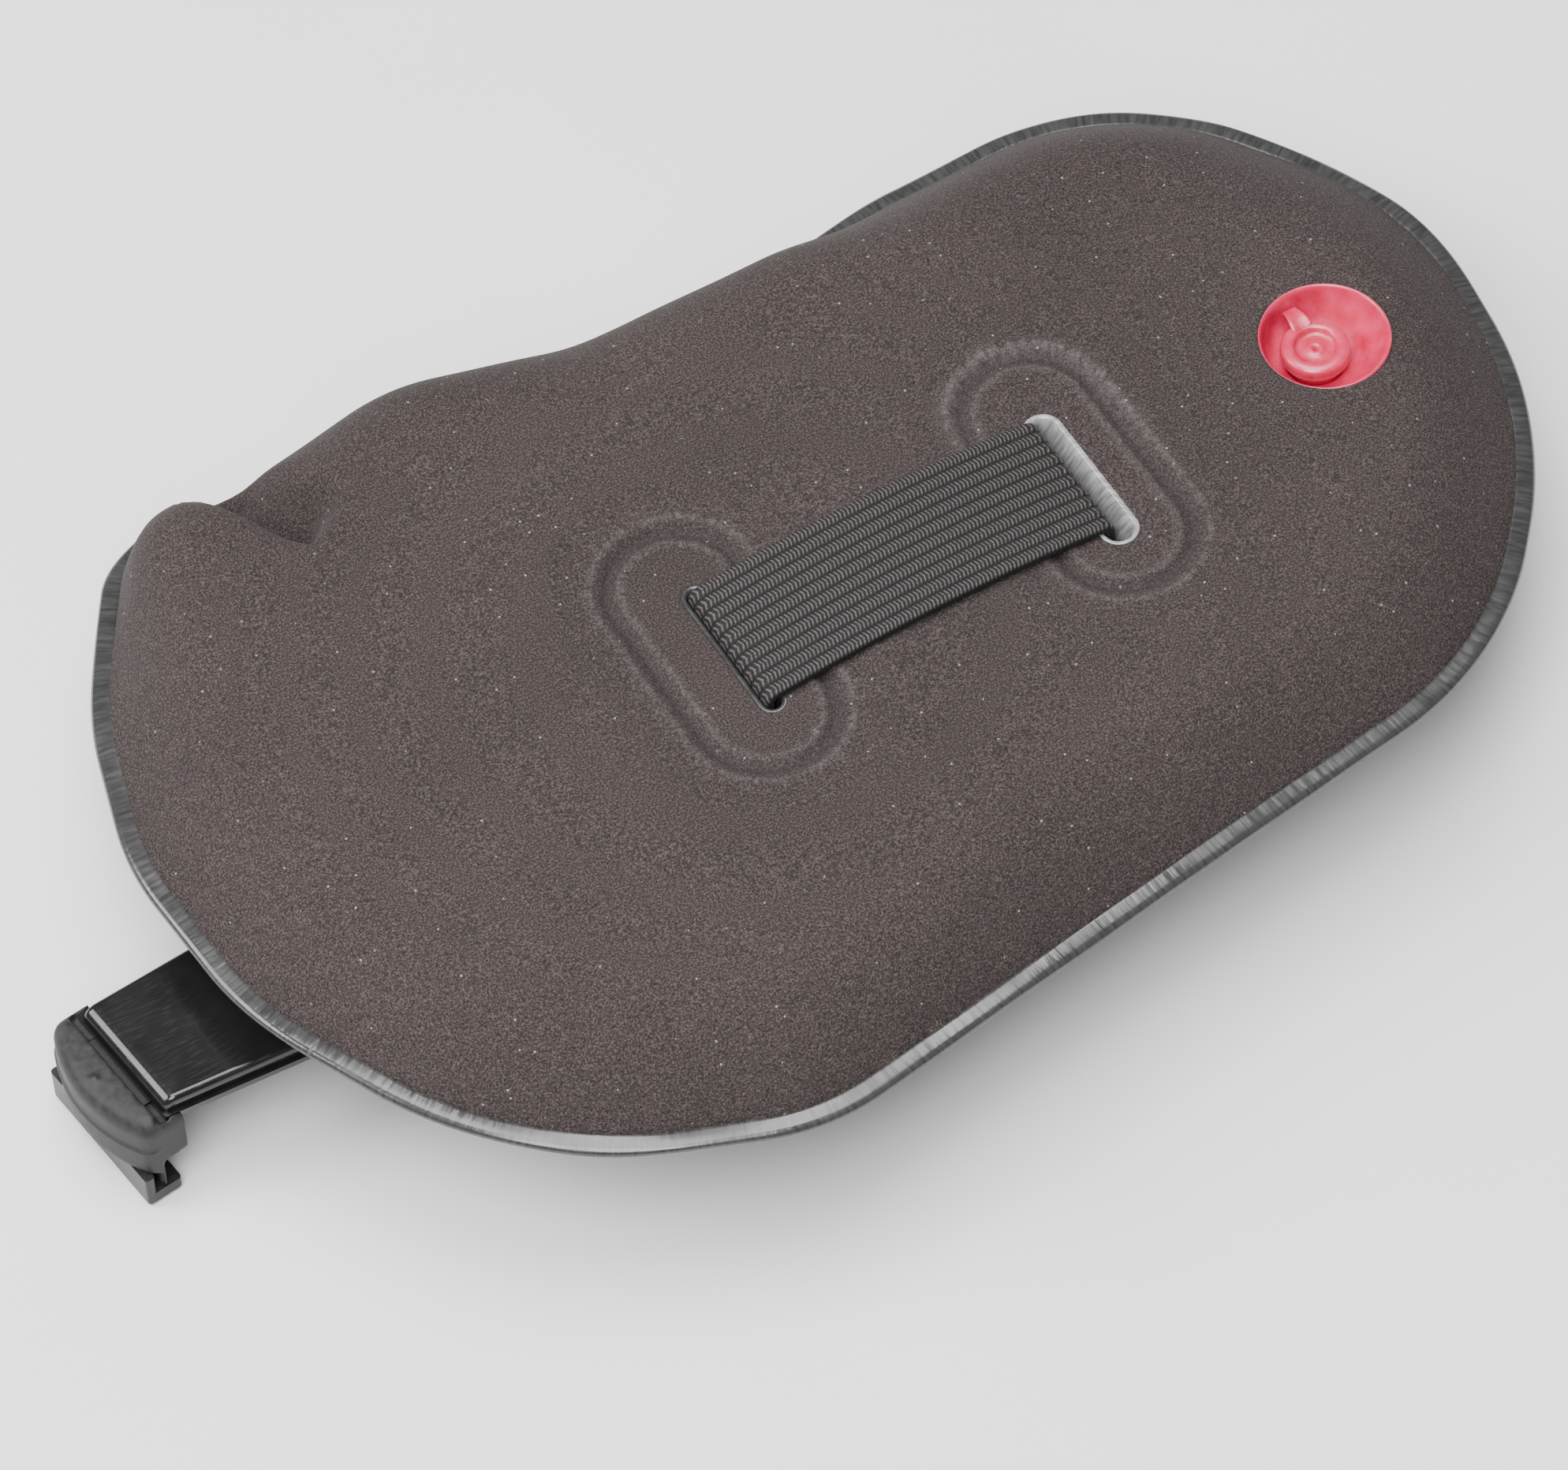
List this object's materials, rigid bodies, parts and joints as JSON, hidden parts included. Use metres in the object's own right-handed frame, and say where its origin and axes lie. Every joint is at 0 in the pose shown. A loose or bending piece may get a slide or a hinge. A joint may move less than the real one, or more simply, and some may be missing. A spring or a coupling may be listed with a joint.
{
  "type": "violin shoulder rest",
  "caption": "Bean-shaped inflatable shoulder rest for a violin, with a stoppered air valve, threaded on an elastic band between two rubber-lined hook arms.",
  "frame": {"origin": "under the middle of the elastic band, in the plane of the edge of the instrument's back", "axes": "+X along the elastic band and hook arms, from the long overhang's hook towards the valve; +Y towards the instrument's neck; +Z out of the back, towards the player"},
  "size_m": [0.2118, 0.1261, 0.0385],
  "materials": {
    "cushion_face": "matte flocked foam laminate",
    "vinyl_weld": "smooth glossy vinyl",
    "elastic": "knitted elastic webbing",
    "thread": "bonded thread",
    "arm_plastic": "glossy, lightly scratched",
    "strip_coating": "satin grey coating",
    "grip_rubber": "matte",
    "screw_steel": "plated",
    "valve_vinyl": "soft translucent vinyl"
  },
  "bodies": {
    "cushion": {"cushion_top_skin": "cushion_face", "cushion_bottom_skin": "cushion_face", "slot_sleeve_left": "vinyl_weld", "slot_sleeve_right": "vinyl_weld", "elastic_band": "elastic", "valve_body": "valve_vinyl"},
    "arm_left": {"hook_arm_left": "arm_plastic", "hook_strip_left": "strip_coating", "rubber_grip_left": "grip_rubber", "hook_screws_left": "screw_steel", "band_loop_left": "elastic", "loop_stitching_left": "thread"},
    "arm_right": {"hook_arm_right": "arm_plastic", "hook_strip_right": "strip_coating", "rubber_grip_right": "grip_rubber", "hook_screws_right": "screw_steel", "band_loop_right": "elastic", "loop_stitching_right": "thread"},
    "valve_stem": {"valve_stem": "valve_vinyl", "valve_tether": "valve_vinyl"},
    "valve_plug": {"valve_plug": "valve_vinyl"},
    "valve_flap": {"valve_flap": "valve_vinyl"}
  },
  "joints": [
    {"name": "left_arm_stretch", "type": "slide", "parent": "cushion", "child": "arm_left", "axis": [-1, 0, 0], "range_m": [0, 0.012], "stiffness_N_per_m": 250, "deforming": ["elastic_band"]},
    {"name": "right_arm_stretch", "type": "slide", "parent": "cushion", "child": "arm_right", "axis": [1, 0, 0], "range_m": [0, 0.012], "stiffness_N_per_m": 250, "deforming": ["elastic_band"]},
    {"name": "valve_stem_pull", "type": "slide", "parent": "cushion", "child": "valve_stem", "axis": [0, 0, 1], "range_m": [0, 0.008], "deforming": ["valve_body"]},
    {"name": "valve_plug_pull", "type": "slide", "parent": "valve_stem", "child": "valve_plug", "axis": [0, 0, 1], "range_m": [0, 0.008], "deforming": ["valve_tether"]},
    {"name": "valve_flap_open", "type": "hinge", "parent": "valve_stem", "child": "valve_flap", "pos_m": [0.0606, 0.0025, 0.0167], "axis": [0, 1, 0], "range_deg": [0, 40], "stiffness_Nm_per_rad": 0.00005}
  ]
}
